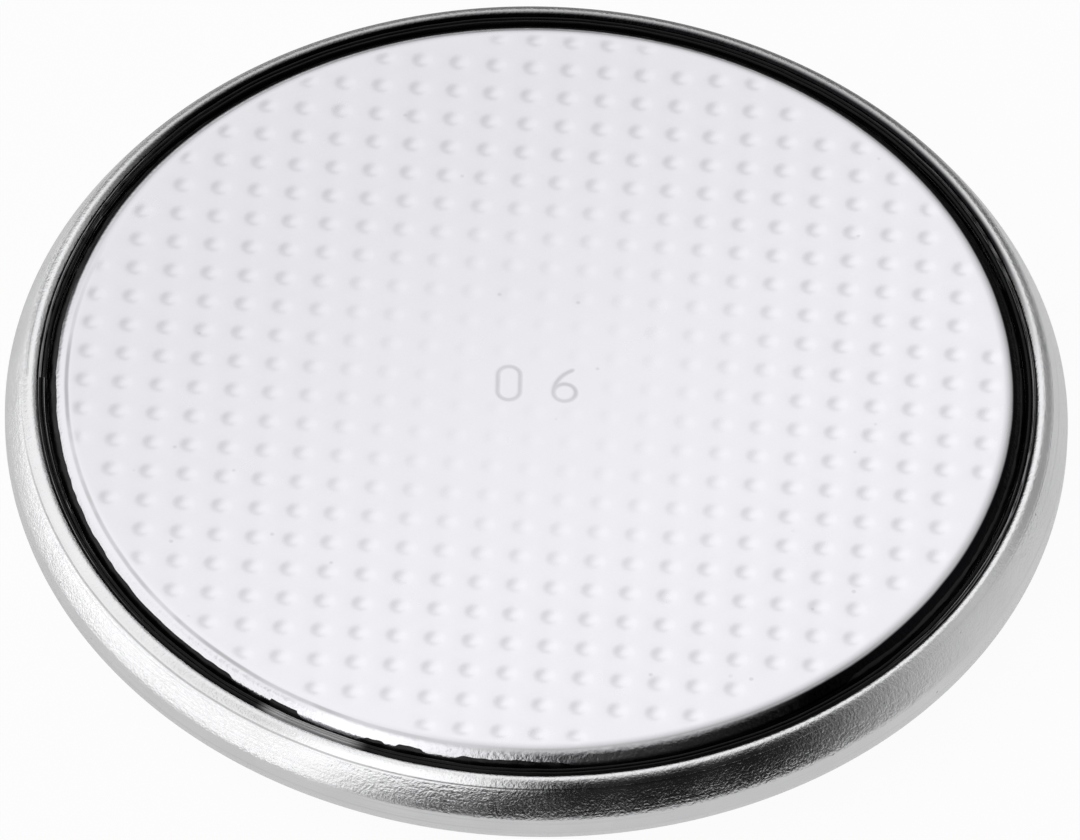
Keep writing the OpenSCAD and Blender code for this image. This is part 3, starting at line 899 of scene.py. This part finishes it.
def floor_paper():
    """White paper that keeps a soft shadow and shows nearly white to the camera. The metal sees it
    bright on the left, plain in front and on the right, and dim at the back; a camera below it
    looks through."""
    made, tree = empty_material("Floor paper")
    ray = add(tree, "ShaderNodeLightPath").outputs
    at = own_place(tree)
    part = parts(tree, at)
    pool = sums(tree, "MULTIPLY", spread(tree, length(tree, at), 13.0 * MM, 18.0 * MM),
                spread(tree, part["X"], -2 * MM, -10 * MM))
    level = sums(tree, "MULTIPLY_ADD", pool, 1.1, 0.7)
    level = sums(tree, "MULTIPLY", level, spread(tree, part["Y"], 8 * MM, 14 * MM, 1.0, 0.45))
    paper = add(tree, "ShaderNodeBsdfDiffuse", {}, {"Color": (0.88, 0.88, 0.89, 1)})
    bright = sums(tree, "MULTIPLY_ADD", sums(tree, "SUBTRACT", level, 1.0),
                  ray["Is Glossy Ray"], 1.0)
    glow = add(tree, "ShaderNodeEmission", {}, {"Color": (1, 1, 1, 1), "Strength": bright})
    lift = sums(tree, "MULTIPLY_ADD", ray["Is Camera Ray"], 0.95, ray["Is Glossy Ray"], clamp=True)
    seen = add(tree, "ShaderNodeMixShader", {}, {0: lift, 1: paper.outputs[0], 2: glow.outputs[0]})
    behind = add(tree, "ShaderNodeNewGeometry").outputs["Backfacing"]
    clear = add(tree, "ShaderNodeBsdfTransparent")
    both = add(tree, "ShaderNodeMixShader", {}, {
        0: behind, 1: seen.outputs[0], 2: clear.outputs[0]})
    add(tree, "ShaderNodeOutputMaterial", {}, {"Surface": both.outputs[0]})
    return made


def flag_black():
    """Black of the flag for the metal to reflect. Its left end slants, so that it starts further
    left at the foot, and it lightens to grey on the right and towards its upper edge. Angles here
    are 0 in front and grow to the right."""
    made, tree = empty_material("Flag black")
    part = parts(tree, own_place(tree))
    angle = sums(tree, "ARCTAN2", part["X"], sums(tree, "MULTIPLY", part["Y"], -1.0))
    slant = spread(tree, part["Z"], 1.2 * MM, 3.3 * MM, math.radians(-20), 0.0)
    to_left = spread(tree, sums(tree, "SUBTRACT", angle, slant),
                     math.radians(5), math.radians(-11), 0.0, 1.3)
    to_right = spread(tree, angle, math.radians(34), math.radians(68), 0.0, 0.6)
    level = add(tree, "ShaderNodeCombineXYZ", {}, {"X": part["X"], "Y": part["Y"]}).outputs[0]
    above = spread(tree, length(tree, level), 11.2 * MM, 9.2 * MM, 0.0, 0.35)
    foot = spread(tree, part["Z"], 1.6 * MM, 0.2 * MM, 0.01, 0.06)
    shown = sums(tree, "ADD", sums(tree, "ADD", to_right, to_left), foot)
    glow = add(tree, "ShaderNodeEmission", {}, {
        "Color": (1, 1, 1, 1), "Strength": sums(tree, "MAXIMUM", shown, above)})
    add(tree, "ShaderNodeOutputMaterial", {}, {"Surface": glow.outputs[0]})
    return made


FLOOR_HALF = 500
FLOOR_Z = -0.004                    # just below the can's base
FLAG_R = 14.5                       # where the flag stands on the floor
FLAG_TOP = 4.9
FLAG_REACH = 5.3                    # how far it leans in over the rim
FLAG_ENDS = 238, 350                # angles of its two ends

floor_corners = np.array([[-1, -1], [1, -1], [1, 1], [-1, 1]]) * FLOOR_HALF
stage_mesh("Floor", np.column_stack([floor_corners, np.full(4, FLOOR_Z)]), [[0, 1, 2, 3]],
           floor_paper())

flag_angles = np.radians(np.linspace(*FLAG_ENDS, 112))
lean = np.radians(np.linspace(0, 90, 19))
flag_r = FLAG_R - FLAG_REACH * (1 - np.cos(lean))
flag_z = np.broadcast_to(FLAG_TOP * np.sin(lean), (len(flag_angles), len(lean)))
flag_points = np.stack([np.outer(np.cos(flag_angles), flag_r),
                        np.outer(np.sin(flag_angles), flag_r), flag_z], -1).reshape(-1, 3)
corner = np.arange(flag_z.size).reshape(flag_z.shape)
flag_faces = np.stack([corner[:-1, :-1], corner[1:, :-1], corner[1:, 1:], corner[:-1, 1:]], -1)
flag = stage_mesh("Flag", flag_points, flag_faces.reshape(-1, 4).tolist(), flag_black())
flag.visible_camera = flag.visible_diffuse = flag.visible_shadow = False
flag.visible_transmission = flag.visible_volume_scatter = False

BASE_LIGHT = 0.07
# Azimuth and elevation of each panel's middle, the angles from it where the panel is full and
# where it is gone, and its strength
PANELS = [(128, 36, 16, 80, 1.07),
          (203, 14, 28, 54, 1.03),
          (25, 15, 28, 52, 0.32)]


def surrounding_light():
    """A soft room: a low base and broad panels of light at the back, the left and the right, the
    strongest of which counts, dimmed low down at the back. The camera sees plain white."""
    world = bpy.data.worlds.new("Room")
    bpy.context.scene.world = world
    world.use_nodes = True
    tree = world.node_tree
    tree.nodes.clear()
    way = add(tree, "ShaderNodeTexCoord").outputs["Generated"]
    light = 0.0
    for azimuth, elevation, full, gone, strength in PANELS:
        a, e = math.radians(azimuth), math.radians(elevation)
        middle = (math.cos(a) * math.cos(e), math.sin(a) * math.cos(e), math.sin(e))
        panel = spread(tree, dot(tree, way, middle), math.cos(math.radians(gone)),
                       math.cos(math.radians(full)), 0.0, strength)
        light = sums(tree, "MAXIMUM", panel, light)
    light = sums(tree, "ADD", light, BASE_LIGHT)
    up = parts(tree, way)["Z"]
    back = dot(tree, way, (-0.05, 0.999, 0))
    dim = sums(tree, "MULTIPLY", spread(tree, up, 0.5, 0.2), spread(tree, back, 0.58, 0.9))
    light = sums(tree, "MULTIPLY", light, sums(tree, "MULTIPLY_ADD", dim, -0.8, 1.0))
    seen = add(tree, "ShaderNodeLightPath").outputs["Is Camera Ray"]
    shown = sums(tree, "MULTIPLY_ADD", light, sums(tree, "SUBTRACT", 1.0, seen), seen)
    room = add(tree, "ShaderNodeBackground", {}, {"Color": (1, 1, 1, 1), "Strength": shown})
    add(tree, "ShaderNodeOutputWorld", {}, {"Surface": room.outputs[0]})


surrounding_light()
bpy.context.scene.view_settings.view_transform = "Standard"
